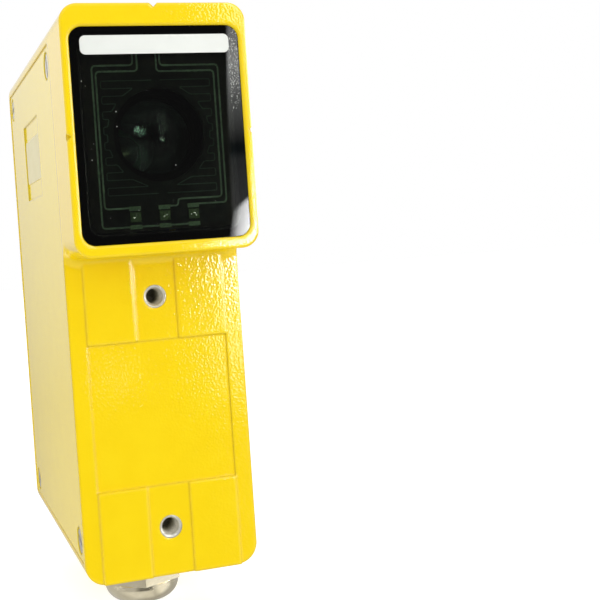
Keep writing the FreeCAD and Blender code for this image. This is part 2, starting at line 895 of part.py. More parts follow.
def gland_body():
    """The hexagon that screws into the casting, with the spigot that takes the nut and the seal."""
    flange_high, flange_low, spigot_low = gland_levels()
    stub_high = cavity_low + gland_boss_height
    stub_radius = gland_thread / 2 - thread_play
    spigot_radius = gland_spigot / 2
    socket_radius = seal_bore / 2 + seal_wall + seal_socket_play
    socket_high = spigot_low + seal_socket_depth
    body = chamfered_hexagon(flange_low, flange_high, gland_body_turn, True)
    outside = [(0, spigot_low), (spigot_radius, spigot_low), (spigot_radius, flange_high),
               (stub_radius, flange_high), (stub_radius, stub_high), (0, stub_high)]
    inside = [(0, spigot_low), (socket_radius, spigot_low), (socket_radius, socket_high),
              (gland_bore / 2, socket_high), (gland_bore / 2, stub_high), (0, stub_high)]
    body = body.fuse(turned(outside, Z, gland_point(0)))
    return body.cut(turned(inside, Z, gland_point(0))).removeSplitter()


def gland_seal():
    """The rubber sleeve that grips the cable."""
    spigot_low = gland_levels()[2]
    inner = seal_bore / 2
    outer = inner + seal_wall
    high = spigot_low + seal_socket_depth
    low = spigot_low - seal_stand_out
    profile = [(inner, low), (outer - seal_taper, low), (outer, spigot_low), (outer, high), (inner, high)]
    return turned(profile, Z, gland_point(0))


def gland_nut():
    """The domed nut: a hexagon, a narrow collar and a rounded end with the cable's hole."""
    flange_low, spigot_low = gland_levels()[1:]
    hex_high = flange_low - nut_gap
    hex_low = hex_high - nut_hex_height
    collar_low = hex_low - nut_collar_height
    dome_low = collar_low - nut_dome_height
    nut = chamfered_hexagon(hex_low, hex_high, nut_turn, False).fuse(nut_dome(hex_low, collar_low, dome_low))
    bore = gland_spigot / 2 + nut_bore_play
    hole = nut_cable_hole / 2
    bore_low = spigot_low - nut_bore_past_spigot
    inside = [(0, hex_high), (bore, hex_high), (bore, bore_low), (hole, dome_low + nut_lip),
              (hole, dome_low), (0, dome_low)]
    return nut.cut(turned(inside, Z, gland_point(0)))


def nut_dome(hex_low, collar_low, dome_low):
    """The turned end of the nut, drawn as half a section and spun about the gland's axis."""
    collar = X * (nut_collar / 2)
    mouth = X * (nut_mouth / 2)
    bulge = math.sqrt(0.5)
    start = gland_point(hex_low)
    edge = start + collar
    shoulder = gland_point(collar_low) + collar
    crown = gland_point(collar_low - nut_dome_height * bulge) + mouth + (collar - mouth) * bulge
    rim = gland_point(dome_low) + mouth
    end = gland_point(dome_low)
    outline = [Part.makeLine(start, edge), Part.makeLine(edge, shoulder),
               Part.Arc(shoulder, crown, rim).toShape(), Part.makeLine(rim, end), Part.makeLine(end, start)]
    return Part.Face(Part.Wire(outline)).revolve(start, Z, 360)


os.makedirs("parts", exist_ok=True)
save("housing", housing())
save("side_cover", side_cover())
save("cover_gasket", cover_gasket())
save("cover_screws", *cover_screws())
save("front_window", front_window())
save("window_seal", window_seal())
save("window_label", window_label())
save("side_label", side_label())
save("top_label", top_label())
save("front_board", front_board())
save("indicator_leds", *indicator_leds())
save("board_posts", *board_posts())
save("optic_plate", optic_plate())
save("lens_tube", lens_tube())
save("lens", lens())
save("lens_ring", lens_ring())
save("tube_nut", tube_nut())
save("emitter_diode", emitter_diode())
save("emitter_board", emitter_board())
save("emitter_screws", *emitter_screws())
save("main_board", main_board())
save("main_board_screws", *main_board_screws())
save("terminal_block", terminal_block())
save("terminal_screws", *terminal_screws())
save("filter_capacitors", *filter_capacitors())
save("power_coil", power_coil())
save("controller_chip", controller_chip())
save("gland_washer", gland_washer())
save("gland_body", gland_body())
save("gland_seal", gland_seal())
save("gland_nut", gland_nut())
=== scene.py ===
import math
import random
import bpy
from mathutils import Matrix, Vector


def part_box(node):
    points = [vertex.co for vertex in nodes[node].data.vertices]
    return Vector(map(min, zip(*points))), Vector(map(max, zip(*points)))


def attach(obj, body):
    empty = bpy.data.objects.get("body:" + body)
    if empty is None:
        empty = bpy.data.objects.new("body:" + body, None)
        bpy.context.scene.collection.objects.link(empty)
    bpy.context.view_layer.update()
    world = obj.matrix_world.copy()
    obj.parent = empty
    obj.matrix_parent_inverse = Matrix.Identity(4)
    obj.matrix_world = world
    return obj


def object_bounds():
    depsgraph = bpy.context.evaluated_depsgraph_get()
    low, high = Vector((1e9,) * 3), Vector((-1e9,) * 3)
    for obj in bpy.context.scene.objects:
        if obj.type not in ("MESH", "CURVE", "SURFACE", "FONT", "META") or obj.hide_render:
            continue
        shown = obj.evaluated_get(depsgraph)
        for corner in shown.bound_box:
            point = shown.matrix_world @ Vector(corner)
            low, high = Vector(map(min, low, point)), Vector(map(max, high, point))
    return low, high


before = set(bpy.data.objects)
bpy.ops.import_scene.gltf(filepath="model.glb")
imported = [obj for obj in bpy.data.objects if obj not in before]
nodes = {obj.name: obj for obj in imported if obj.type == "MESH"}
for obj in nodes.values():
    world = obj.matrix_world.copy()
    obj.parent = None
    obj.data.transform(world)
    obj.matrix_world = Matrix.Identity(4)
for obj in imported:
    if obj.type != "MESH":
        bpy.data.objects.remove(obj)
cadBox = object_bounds()
scene = bpy.context.scene
mm = 0.001
print("frame loaded:", len(nodes), "nodes")

# where a noise turns from a finish's darker tone to its lighter one
broadBlend = (0.3, 0.7)
firmBlend = (0.35, 0.65)


# screen colour to linear light
def linear(hexColour):
    parts = [int(hexColour[i:i + 2], 16) / 255 for i in (1, 3, 5)]
    flat = [p / 12.92 if p <= 0.04045 else ((p + 0.055) / 1.055) ** 2.4 for p in parts]
    return (flat[0], flat[1], flat[2], 1.0)


def grey(level):
    return (level, level, level, 1.0)


# small helpers for shader nodes
def addNode(tree, kind, **settings):
    node = tree.nodes.new(kind)
    for key, value in settings.items():
        setattr(node, key, value)
    return node


def feed(tree, socket, value):
    # a link when it comes from another node, a plain value when it doesn't
    if isinstance(value, bpy.types.NodeSocket):
        tree.links.new(value, socket)
    else:
        socket.default_value = value


def startFinish(name):
    finish = bpy.data.materials.new(name)
    finish.use_nodes = True
    tree = finish.node_tree
    tree.nodes.clear()
    shader = addNode(tree, "ShaderNodeBsdfPrincipled")
    output = addNode(tree, "ShaderNodeOutputMaterial")
    tree.links.new(shader.outputs["BSDF"], output.inputs["Surface"])
    return finish, tree, shader


def axes(tree, source):
    # x, y and z of a place on the part (Object, in metres) or of a direction in the room (Generated)
    where = addNode(tree, "ShaderNodeTexCoord")
    split = addNode(tree, "ShaderNodeSeparateXYZ")
    tree.links.new(where.outputs[source], split.inputs["Vector"])
    return split.outputs["X"], split.outputs["Y"], split.outputs["Z"]


def grain(tree, sizeMm, detail=2.0, stretch=(1, 1, 1)):
    # noise of one size in millimetres, stretched along an axis for brushed metal
    where = addNode(tree, "ShaderNodeTexCoord")
    mapping = addNode(tree, "ShaderNodeMapping")
    mapping.inputs["Scale"].default_value = [s / mm for s in stretch]
    tree.links.new(where.outputs["Object"], mapping.inputs["Vector"])
    noise = addNode(tree, "ShaderNodeTexNoise")
    tree.links.new(mapping.outputs["Vector"], noise.inputs["Vector"])
    noise.inputs["Scale"].default_value = 1.0 / sizeMm
    noise.inputs["Detail"].default_value = detail
    return noise.outputs["Fac"]


def calc(tree, kind, first, second):
    node = addNode(tree, "ShaderNodeMath", operation=kind)
    feed(tree, node.inputs[0], first)
    feed(tree, node.inputs[1], second)
    return node.outputs["Value"]


def times(tree, first, *others):
    for other in others:
        first = calc(tree, "MULTIPLY", first, other)
    return first


def spread(tree, value, low, high, over=firmBlend):
    # low at the first end of over, high at the second, and level beyond both
    node = addNode(tree, "ShaderNodeMapRange")
    feed(tree, node.inputs["Value"], value)
    ends = {"From Min": over[0], "From Max": over[1], "To Min": low, "To Max": high}
    for key, number in ends.items():
        node.inputs[key].default_value = number
    return node.outputs["Result"]


def between(tree, value, lowMm, highMm):
    above = calc(tree, "GREATER_THAN", value, lowMm * mm)
    below = calc(tree, "LESS_THAN", value, highMm * mm)
    return times(tree, above, below)


def around(middle, margin):
    return (middle - margin, middle + margin)


def shades(tree, value, stops):
    # colour ramp from (position, hex colour) stops
    node = addNode(tree, "ShaderNodeValToRGB")
    feed(tree, node.inputs["Fac"], value)
    points = node.color_ramp.elements
    while len(points) < len(stops):
        points.new(0.5)
    for point, (position, colour) in zip(points, stops):
        point.position = position
        point.color = linear(colour)
    return node.outputs["Color"]


def twoTone(tree, value, look, ends=broadBlend):
    return shades(tree, value, [(ends[0], look["dark"]), (ends[1], look["colour"])])


def blendColour(tree, factor, first, second):
    node = addNode(tree, "ShaderNodeMix", data_type="RGBA")
    feed(tree, node.inputs["Factor"], factor)
    feed(tree, node.inputs["A"], first)
    feed(tree, node.inputs["B"], second)
    return node.outputs["Result"]


def scaled(tree, colour, gain):
    node = addNode(tree, "ShaderNodeVectorMath", operation="SCALE")
    feed(tree, node.inputs["Vector"], colour)
    feed(tree, node.inputs["Scale"], gain)
    return node.outputs["Vector"]


def bumped(tree, height, depthMm, under=None):
    node = addNode(tree, "ShaderNodeBump")
    node.inputs["Distance"].default_value = depthMm * mm
    tree.links.new(height, node.inputs["Height"])
    if under is not None:
        tree.links.new(under, node.inputs["Normal"])
    return node.outputs["Normal"]


def softEdge(tree, radiusMm):
    # rounds the light on sharp edges, as paint and polishing do
    node = addNode(tree, "ShaderNodeBevel", samples=6)
    node.inputs["Radius"].default_value = radiusMm * mm
    return node.outputs["Normal"]


def setInputs(tree, shader, **values):
    names = {"colour": "Base Color", "metal": "Metallic", "rough": "Roughness", "ior": "IOR",
             "normal": "Normal", "coat": "Coat Weight", "coatRough": "Coat Roughness",
             "coatNormal": "Coat Normal", "glass": "Transmission Weight", "specular": "Specular IOR Level",
             "specularTint": "Specular Tint", "glow": "Emission Strength", "glowColour": "Emission Color"}
    for key, value in values.items():
        feed(tree, shader.inputs[names[key]], value)


# helpers for the part's nodes and the pieces that are added to them
sharpFromDegrees = 100.0  # keeps the mouth of a thread sleeve crisp


def dress(finish, *names):
    for name in names:
        mesh = nodes[name].data
        mesh.materials.clear()
        mesh.materials.append(finish)


def addPiece(name, points, faces, finish, smooth=False):
    # points are in millimetres in the part's own frame
    mesh = bpy.data.meshes.new(name)
    mesh.from_pydata([(x * mm, y * mm, z * mm) for x, y, z in points], [], faces)
    mesh.update()
    for face in mesh.polygons:
        face.use_smooth = smooth
    if smooth:
        mesh.set_sharp_from_angle(angle=math.radians(sharpFromDegrees))
    mesh.materials.append(finish)
    piece = bpy.data.objects.new(name, mesh)
    scene.collection.objects.link(piece)
    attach(piece, "root")


def boxMm(name):
    low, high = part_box(name)
    return [v / mm for v in low], [v / mm for v in high]


def onCircle(x, y, z, radius, step, count):
    # one of the points round a circle that faces the front
    angle = 2 * math.pi * step / count
    return (x + radius * math.cos(angle), y, z + radius * math.sin(angle))


# camera at the photograph's place, for an image of 600 x 600
cameraSet = {"at": (-70.7, -285.8, 48.75), "forward": (0.2676, 0.9634, -0.0128),
             "right": (0.9609, -0.2678, -0.0698), "focalPx": 1007.0, "centrePx": (180.0, 256.0),
             "imagePx": 600.0, "sensorMm": 36.0, "nearest": 0.01}
imagePx = cameraSet["imagePx"]
cameraData = bpy.data.cameras.new("photoCamera")
cameraData.sensor_width = cameraSet["sensorMm"]
cameraData.lens = cameraSet["focalPx"] / imagePx * cameraSet["sensorMm"]
cameraData.shift_x = (imagePx / 2 - cameraSet["centrePx"][0]) / imagePx
cameraData.shift_y = (cameraSet["centrePx"][1] - imagePx / 2) / imagePx
cameraData.clip_start = cameraSet["nearest"]
camera = bpy.data.objects.new("photoCamera", cameraData)
backAxis = -Vector(cameraSet["forward"]).normalized()
sideAxis = Vector(cameraSet["right"])
sideAxis = (sideAxis - backAxis * sideAxis.dot(backAxis)).normalized()
upAxis = backAxis.cross(sideAxis)
turn = Matrix((sideAxis, upAxis, backAxis)).transposed().to_4x4()
camera.matrix_world = Matrix.Translation(Vector(cameraSet["at"]) * mm) @ turn
scene.collection.objects.link(camera)
scene.camera = camera
scene.view_settings.view_transform = "Standard"
print("camera set")


# white studio: each pair named over is the span of directions that a level changes across
studioSet = {
    "white": 1.0, "throughGlass": 0.55,
    "fill": {"level": 0.96, "left": 1.05, "leftOver": (-0.7, 0.0),
             "zenith": 0.72, "zenithOver": (0.15, 0.8), "facing": 1.63, "facingOver": (-1.0, -0.35)},
    "front": {"dark": 0.08, "left": 0.55, "leftOver": (-0.55, -0.2),
              "above": 0.95, "aboveOver": (0.21, 0.55), "below": 0.85, "belowOver": (-0.44, -0.33)},
    "right": {"gain": 8.0, "edgeOver": (0.3185, 0.3215), "far": 0.14, "farOver": (0.40, 0.62),
              "bandsOver": (-0.3, 0.3),
              "bands": [(0.56, "#505050"), (0.63, "#404242"), (0.645, "#1C2123"), (0.655, "#1C2021"),
                        (0.67, "#404140"), (0.73, "#808280"), (0.80, "#D0D0D0"), (0.85, "#989898"),
                        (0.88, "#FFFFFF")]},
    "tilted": {"edge": 9.0, "middle": 40.0, "middleIn": 0.03, "side": 0.3187, "sideSoft": 0.004, "lean": 0.2,
               "top": -0.2225, "topSoft": 0.003, "topSlope": 0.78, "endOver": (0.38, 0.44),
               "fadeOver": (-0.07, -0.025), "foot": 0.16, "footEnd": -0.14, "footSoft": 0.01},
    "back": {"level": 0.73, "rise": 1.3, "least": 0.54, "left": 1.15, "right": 0.9,
             "leftOver": (-0.155, -0.115), "over": (-0.35, 0.05)},
    "softBox": {"level": 9.0, "sideOver": (0.80, 0.88), "lowOver": (-0.12, -0.07), "highOver": (0.20, 0.26)}}
world = bpy.data.worlds.new("whiteStudio")
scene.world = world
world.use_nodes = True
tree = world.node_tree
tree.nodes.clear()
sideways, backward, upward = axes(tree, "Generated")
rays = addNode(tree, "ShaderNodeLightPath").outputs
mirrorRay, glassRay = rays["Is Glossy Ray"], rays["Is Transmission Ray"]

# in reflections: a dark gap in front, pale to the left, above and below
look = studioSet["front"]
onLeft = spread(tree, sideways, look["left"], 0.0, look["leftOver"])
fromAbove = spread(tree, upward, 0.0, look["above"], look["aboveOver"])
fromBelow = spread(tree, upward, look["below"], 0.0, look["belowOver"])
front = calc(tree, "MAXIMUM", calc(tree, "MAXIMUM", onLeft, fromAbove),
             calc(tree, "MAXIMUM", fromBelow, look["dark"]))

# level bands of light and shade to the right, dimmer far round
look = studioSet["right"]
bands = shades(tree, spread(tree, upward, 0.0, 1.0, look["bandsOver"]), look["bands"])
bands = blendColour(tree, spread(tree, sideways, 0.0, 1.0, look["farOver"]), bands, grey(look["far"]))
onRight = spread(tree, sideways, 0.0, 1.0, look["edgeOver"])
front = blendColour(tree, onRight, front, scaled(tree, bands, look["gain"]))

# bright tilted panel on the right, hotter towards its middle and fading at its foot
look = studioSet["tilted"]
inward = calc(tree, "SUBTRACT", sideways, times(tree, upward, look["lean"]))
belowTop = calc(tree, "SUBTRACT", upward, times(tree, sideways, look["topSlope"]))
foot = spread(tree, upward, 0.0, look["foot"], around(look["footEnd"], look["footSoft"]))
fade = calc(tree, "MAXIMUM", foot, spread(tree, upward, 0.0, 1.0, look["fadeOver"]))
inPanel = times(tree, spread(tree, inward, 0.0, 1.0, around(look["side"], look["sideSoft"])),
                spread(tree, belowTop, 1.0, 0.0, around(look["top"], look["topSoft"])), fade,
                spread(tree, sideways, 1.0, 0.0, look["endOver"]), mirrorRay)
panelSpan = (look["side"], look["side"] + look["middleIn"])
front = blendColour(tree, inPanel, front, spread(tree, inward, look["edge"], look["middle"], panelSpan))

# behind the part: pale, brighter higher up and to the left
look = studioSet["back"]
backLight = calc(tree, "ADD", times(tree, upward, look["rise"]), look["level"])
backLight = calc(tree, "MINIMUM", calc(tree, "MAXIMUM", backLight, look["least"]), studioSet["white"])
backLight = times(tree, backLight, spread(tree, sideways, look["left"], look["right"], look["leftOver"]))
mirrored = blendColour(tree, spread(tree, backward, 0.0, 1.0, look["over"]), front, backLight)

# soft box far to the right, seen only in rounded edges and bare metal
look = studioSet["softBox"]
inBox = times(tree, spread(tree, sideways, 0.0, 1.0, look["sideOver"]),
              spread(tree, upward, 0.0, 1.0, look["lowOver"]),
              spread(tree, upward, 1.0, 0.0, look["highOver"]), mirrorRay)
mirrored = blendColour(tree, inBox, mirrored, grey(look["level"]))
mirrored = scaled(tree, mirrored, spread(tree, glassRay, 1.0, studioSet["throughGlass"], (0.0, 1.0)))

# even fill for diffuse light, stronger from the front and weaker from straight above
look = studioSet["fill"]
fill = times(tree, spread(tree, sideways, look["left"], look["level"], look["leftOver"]),
             spread(tree, upward, 1.0, look["zenith"], look["zenithOver"]),
             spread(tree, backward, look["facing"], 1.0, look["facingOver"]))
lit = blendColour(tree, calc(tree, "MAXIMUM", mirrorRay, glassRay), fill, mirrored)
seen = blendColour(tree, rays["Is Camera Ray"], lit, grey(studioSet["white"]))
sky = addNode(tree, "ShaderNodeBackground")
skyOut = addNode(tree, "ShaderNodeOutputWorld")
tree.links.new(seen, sky.inputs["Color"])
sky.inputs["Strength"].default_value = studioSet["white"]
tree.links.new(sky.outputs["Background"], skyOut.inputs["Surface"])


# lamps: a compact one, a panel to the right, a broad soft one above and a low card on the left
lampSet = {"compactLamp": {"azimuth": 9.7, "elevation": -10.0, "away": 0.4, "size": 0.0105, "radiance": 4.5},
           "sidePanel": {"azimuth": 26.4, "elevation": 2.0, "away": 1.0, "size": 0.095, "radiance": 40.0},
           "softAbove": {"azimuth": 14.0, "elevation": 48.0, "away": 1.6, "size": 0.9, "radiance": 0.3},
           "lowCard": {"azimuth": -103.0, "elevation": -32.5, "away": 0.158, "size": 0.07, "radiance": 3.1}}
lampAim = Vector((0.0, 0.0, 0.03))
for lampName, look in lampSet.items():
    lampData = bpy.data.lights.new(lampName, "AREA")
    lampData.size = look["size"]
    lampData.energy = look["radiance"] * math.pi * look["size"] ** 2
    lamp = bpy.data.objects.new(lampName, lampData)
    azimuth = math.radians(look["azimuth"])
    elevation = math.radians(look["elevation"])
    towards = Vector((math.sin(azimuth) * math.cos(elevation),
                      -math.cos(azimuth) * math.cos(elevation), math.sin(elevation)))
    lamp.location = lampAim + towards * look["away"]
    lamp.rotation_euler = towards.to_track_quat("Z", "Y").to_euler()
    lamp.visible_camera = False
    scene.collection.objects.link(lamp)

# pale floor that keeps a soft shadow
floorSet = {"half": 3.0, "colour": "#E7E7E6", "dark": "#E2E2E0", "dappleMm": 40.0, "rough": 0.9, "lift": 0.6,
            "bounce": 0.02}
floorZ = cadBox[0][2]
floorMesh = bpy.data.meshes.new("paleFloor")
far = floorSet["half"]
floorCorners = [(-far, -far, floorZ), (far, -far, floorZ), (far, far, floorZ), (-far, far, floorZ)]
floorMesh.from_pydata(floorCorners, [], [(0, 1, 2, 3)])
floorFinish, tree, shader = startFinish("paleFloor")
floorRay = addNode(tree, "ShaderNodeLightPath").outputs["Is Camera Ray"]
floorLift = calc(tree, "ADD", times(tree, floorRay, floorSet["lift"]), floorSet["bounce"])
setInputs(tree, shader, colour=twoTone(tree, grain(tree, floorSet["dappleMm"]), floorSet),
          rough=floorSet["rough"], specular=0.0, glowColour=grey(1.0), glow=floorLift)
floorMesh.materials.append(floorFinish)
floor = bpy.data.objects.new("paleFloor", floorMesh)
floor.visible_glossy = False
scene.collection.objects.link(floor)
print("studio, lamps and floor set")


# yellow powder coat with orange peel, deeper on the casting than on its cover
paintLook = {"blotchMm": 9.0, "peelMm": 0.66, "fineMm": 0.4, "fineDepthMm": 0.002, "edgeMm": 1.1,
             "rough": 0.34, "roughStep": 0.05, "roughMm": 3.0, "coatRough": 0.07}


def powderCoat(name, look):
    finish, tree, shader = startFinish(name)
    tone = twoTone(tree, grain(tree, paintLook["blotchMm"], detail=3.0), look, firmBlend)
    edge = softEdge(tree, paintLook["edgeMm"])
    peel = bumped(tree, grain(tree, paintLook["peelMm"], detail=0.0), look["peelDepthMm"], edge)
    peel = bumped(tree, grain(tree, paintLook["fineMm"], detail=1.0), paintLook["fineDepthMm"], peel)
    roughOver = around(paintLook["rough"], paintLook["roughStep"])
    setInputs(tree, shader, colour=tone, rough=spread(tree, grain(tree, paintLook["roughMm"]), *roughOver),
              specular=0.0, normal=peel, coat=1.0, coatRough=paintLook["coatRough"], coatNormal=peel)
    return finish, tree, shader, tone


coverLook = {"colour": "#FADE14", "dark": "#F8DB11", "peelDepthMm": 0.018}
dress(powderCoat("coverPaint", coverLook)[0], "side_cover")

# the casting's colour is painted near-black in the window's pocket and the chamber behind it, as painted
# shade for the dark inside
castingLook = {"colour": "#FCDB14", "dark": "#FAD811", "peelDepthMm": 0.025, "pocket": "#1D1D16",
               "pocketWide": (-23.85, 23.85), "pocketDeep": (-21.15, -3.0), "pocketHigh": (49.35, 108.15)}
castingPaint, tree, shader, yellow = powderCoat("castingPaint", castingLook)
x, y, z = axes(tree, "Object")
# where the near-black painted shade goes
inPaintedShade = times(tree, between(tree, x, *castingLook["pocketWide"]),
                 between(tree, y, *castingLook["pocketDeep"]), between(tree, z, *castingLook["pocketHigh"]))
setInputs(tree, shader, colour=blendColour(tree, inPaintedShade, yellow, linear(castingLook["pocket"])))
dress(castingPaint, "housing")
print("casting and cover painted")


# metals: one recipe, one look for each piece
streakRough = (0.75, 1.35)  # roughness along the streaks, as shares of the look's own


def metalFinish(name, look):
    finish, tree, shader = startFinish(name)
    streak = grain(tree, look["grainMm"], detail=3.0, stretch=look.get("stretch", (1, 1, 1)))
    rough = spread(tree, streak, *(look["rough"] * share for share in streakRough))
    setInputs(tree, shader, colour=twoTone(tree, grain(tree, look["blotchMm"]), look), metal=1.0,
              rough=rough, normal=bumped(tree, streak, look["grainDepthMm"], softEdge(tree, look["edgeMm"])))
    return finish


screwLook = {"colour": "#DAD8CF", "dark": "#B5B2A6", "rough": 0.24, "grainMm": 0.25, "grainDepthMm": 0.006,
             "blotchMm": 1.8, "edgeMm": 0.15}
dress(metalFinish("screwZinc", screwLook), "cover_screws", "main_board_screws", "terminal_screws",
      "emitter_screws")

glandLook = {"colour": "#E8DEC2", "dark": "#DACFB0", "rough": 0.17, "grainMm": 1.6, "grainDepthMm": 0.0004,
             "blotchMm": 6.0, "edgeMm": 0.22, "stretch": (1, 1, 5)}
dress(metalFinish("glandNickel", glandLook), "gland_body", "gland_nut")

postLook = {"colour": "#D9B566", "dark": "#B58F3E", "rough": 0.28, "grainMm": 0.2, "grainDepthMm": 0.004,
            "blotchMm": 2.0, "edgeMm": 0.1, "stretch": (1, 5, 1)}
dress(metalFinish("postBrass", postLook), "board_posts")

emitterLook = {"colour": "#D8CDAA", "dark": "#B7A983", "rough": 0.2, "grainMm": 0.3, "grainDepthMm": 0.003,
               "blotchMm": 1.5, "edgeMm": 0.1}
dress(metalFinish("emitterCan", emitterLook), "emitter_diode")

canLook = {"colour": "#D2D4D8", "dark": "#AEB1B6", "rough": 0.32, "grainMm": 0.3, "grainDepthMm": 0.004,
           "blotchMm": 3.0, "edgeMm": 0.2, "stretch": (0.2, 1, 1)}
dress(metalFinish("capacitorCan", canLook), "filter_capacitors")
print("metal pieces finished")


# rubber and moulded plastic
roughStep = 0.06  # how far plastic and film stray from their own roughness


def mouldedFinish(name, look):
    finish, tree, shader = startFinish(name)
    speck = grain(tree, look["grainMm"], detail=3.0)
    rough = spread(tree, grain(tree, look["grainMm"] * 3), *around(look["rough"], roughStep))
    setInputs(tree, shader, colour=twoTone(tree, speck, look, firmBlend), rough=rough,
              normal=bumped(tree, speck, look["grainDepthMm"], softEdge(tree, look["edgeMm"])),
              specular=look.get("shine", 0.5))
    return finish


sealLook = {"colour": "#171717", "dark": "#0E0E0E", "rough": 0.62, "grainMm": 0.35, "grainDepthMm": 0.01,
            "edgeMm": 0.12}
dress(mouldedFinish("sealRubber", sealLook), "cover_gasket", "window_seal", "gland_washer", "gland_seal")

opticLook = {"colour": "#0D0E0D", "dark": "#090A09", "rough": 0.7, "grainMm": 0.5, "grainDepthMm": 0.008,
             "edgeMm": 0.12, "shine": 0.05}
dress(mouldedFinish("opticPlastic", opticLook), "optic_plate", "lens_tube", "lens_ring", "tube_nut")

terminalLook = {"colour": "#2F9A4B", "dark": "#278440", "rough": 0.45, "grainMm": 0.6, "grainDepthMm": 0.006,
                "edgeMm": 0.15}
dress(mouldedFinish("terminalGreen", terminalLook), "terminal_block")

chipLook = {"colour": "#262628", "dark": "#1C1C1E", "rough": 0.55, "grainMm": 0.2, "grainDepthMm": 0.006,
            "edgeMm": 0.1}
dress(mouldedFinish("chipBlack", chipLook), "controller_chip")

ledLook = {"colour": "#7D9F69", "dark": "#6F8F5B", "rough": 0.12, "grainMm": 0.6, "grainDepthMm": 0.003,
           "edgeMm": 0.1}
dress(mouldedFinish("ledPlastic", ledLook), "indicator_leds")

# enamelled wire on the choke, as close turns round the ring, with painted shade darkening the grooves
# between turns
windingLook = {"colour": "#C77B3E", "dark": "#7C4218", "grooveShadeEnds": (0.05, 0.6), "turns": 46.0, "rough": 0.3,
               "depthMm": 0.25, "coat": 0.6}
windingFinish, tree, shader = startFinish("coilWinding")
coilLow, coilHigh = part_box("power_coil")
y, z = axes(tree, "Object")[1:]
acrossCoil = calc(tree, "SUBTRACT", y, (coilLow[1] + coilHigh[1]) / 2)
upCoil = calc(tree, "SUBTRACT", z, (coilLow[2] + coilHigh[2]) / 2)
wire = addNode(tree, "ShaderNodeMath", operation="SINE")
feed(tree, wire.inputs[0], times(tree, calc(tree, "ARCTAN2", acrossCoil, upCoil), windingLook["turns"]))
wireHeight = spread(tree, wire.outputs["Value"], 0.0, 1.0, (-1.0, 1.0))
setInputs(tree, shader, colour=twoTone(tree, wireHeight, windingLook, windingLook["grooveShadeEnds"]),
          rough=windingLook["rough"], normal=bumped(tree, wireHeight, windingLook["depthMm"]),
          coat=windingLook["coat"])
dress(windingFinish, "power_coil")


# label films
def filmFinish(name, look):
    finish, tree, shader = startFinish(name)
    colour = twoTone(tree, grain(tree, look["blotchMm"]), look)
    rough = spread(tree, grain(tree, look["roughMm"]), *around(look["rough"], roughStep))
    normal = bumped(tree, grain(tree, look["grainMm"]), look["grainDepthMm"], softEdge(tree, look["edgeMm"]))
    setInputs(tree, shader, colour=colour, rough=rough, normal=normal)
    return finish


whiteLabelLook = {"colour": "#E6E9E3", "dark": "#E1E4DE", "blotchMm": 9.0, "rough": 0.38, "roughMm": 0.8,
                  "grainMm": 0.7, "grainDepthMm": 0.004, "edgeMm": 0.08}
dress(filmFinish("whiteFilm", whiteLabelLook), "window_label", "top_label")

creamLabelLook = {"colour": "#E9DFB0", "dark": "#E4D9A4", "blotchMm": 7.0, "rough": 0.42, "roughMm": 0.8,
                  "grainMm": 0.7, "grainDepthMm": 0.004, "edgeMm": 0.08}
dress(filmFinish("creamFilm", creamLabelLook), "side_label")
print("rubber, plastic and films finished")


# smoked window and the clear lens behind it, which has a pale coating
windowLook = {"colour": "#A6ABA3", "dark": "#A1A69E", "blotchMm": 25.0, "rough": 0.0, "ior": 1.5}
smokedGlass, tree, shader = startFinish("smokedGlass")
setInputs(tree, shader, colour=twoTone(tree, grain(tree, windowLook["blotchMm"]), windowLook),
          rough=windowLook["rough"], ior=windowLook["ior"], glass=1.0)
dress(smokedGlass, "front_window")

lensLook = {"colour": "#D8EEE6", "dark": "#CFE8DF", "blotchMm": 8.0, "rough": 0.0, "ior": 1.49,
            "coating": "#CBE2D6"}
lensGlass, tree, shader = startFinish("lensGlass")
setInputs(tree, shader, colour=twoTone(tree, grain(tree, lensLook["blotchMm"]), lensLook),
          rough=lensLook["rough"], ior=lensLook["ior"], glass=1.0, specularTint=linear(lensLook["coating"]))
dress(lensGlass, "lens")

# solder mask on the indicator board: dark border, green field inside the outer track
boardLook = {"colour": "#202B1D", "dark": "#1A2419", "border": "#272A1B", "rough": 0.42, "shine": 0.15,
             "weaveMm": 0.5, "weaveDepthMm": 0.01, "fieldWide": (-17.6, 18.0), "fieldHigh": (54.0, 97.8)}
boardFinish, tree, shader = startFinish("frontBoardMask")
x, y, z = axes(tree, "Object")
inField = times(tree, between(tree, x, *boardLook["fieldWide"]), between(tree, z, *boardLook["fieldHigh"]))
weave = grain(tree, boardLook["weaveMm"])
tone = blendColour(tree, inField, linear(boardLook["border"]), twoTone(tree, weave, boardLook, firmBlend))
setInputs(tree, shader, colour=tone, rough=boardLook["rough"], specular=boardLook["shine"],
          normal=bumped(tree, weave, boardLook["weaveDepthMm"]))
dress(boardFinish, "front_board")

innerBoardLook = {"colour": "#1F6B3A", "dark": "#195A30", "rough": 0.4, "weaveMm": 0.5, "weaveDepthMm": 0.01}
innerBoard, tree, shader = startFinish("innerBoardMask")
weave = grain(tree, innerBoardLook["weaveMm"])
setInputs(tree, shader, colour=twoTone(tree, weave, innerBoardLook, firmBlend),
          rough=innerBoardLook["rough"], normal=bumped(tree, weave, innerBoardLook["weaveDepthMm"]))
dress(innerBoard, "main_board", "emitter_board")
print("glass and boards finished")


# tracks on the indicator board: flat ribbons along rounded paths, drawn as (x, z)
boardFront = boxMm("front_board")[0][1]
cornerSteps = 4
cornerShare = 0.45  # the most of a straight that one corner takes


def roundedPath(path, radius):
    points = [Vector(path[0])]
    for before, corner, after in zip(path, path[1:], path[2:]):
        corner = Vector(corner)
        arriving = Vector(before) - corner
        leaving = Vector(after) - corner
        cut = min(radius, arriving.length * cornerShare, leaving.length * cornerShare)
        start = corner + arriving.normalized() * cut
        end = corner + leaving.normalized() * cut
        for step in range(cornerSteps + 1):
            t = step / cornerSteps
            points.append(start * (1 - t) ** 2 + corner * (2 * t * (1 - t)) + end * t ** 2)
    points.append(Vector(path[-1]))
    return points


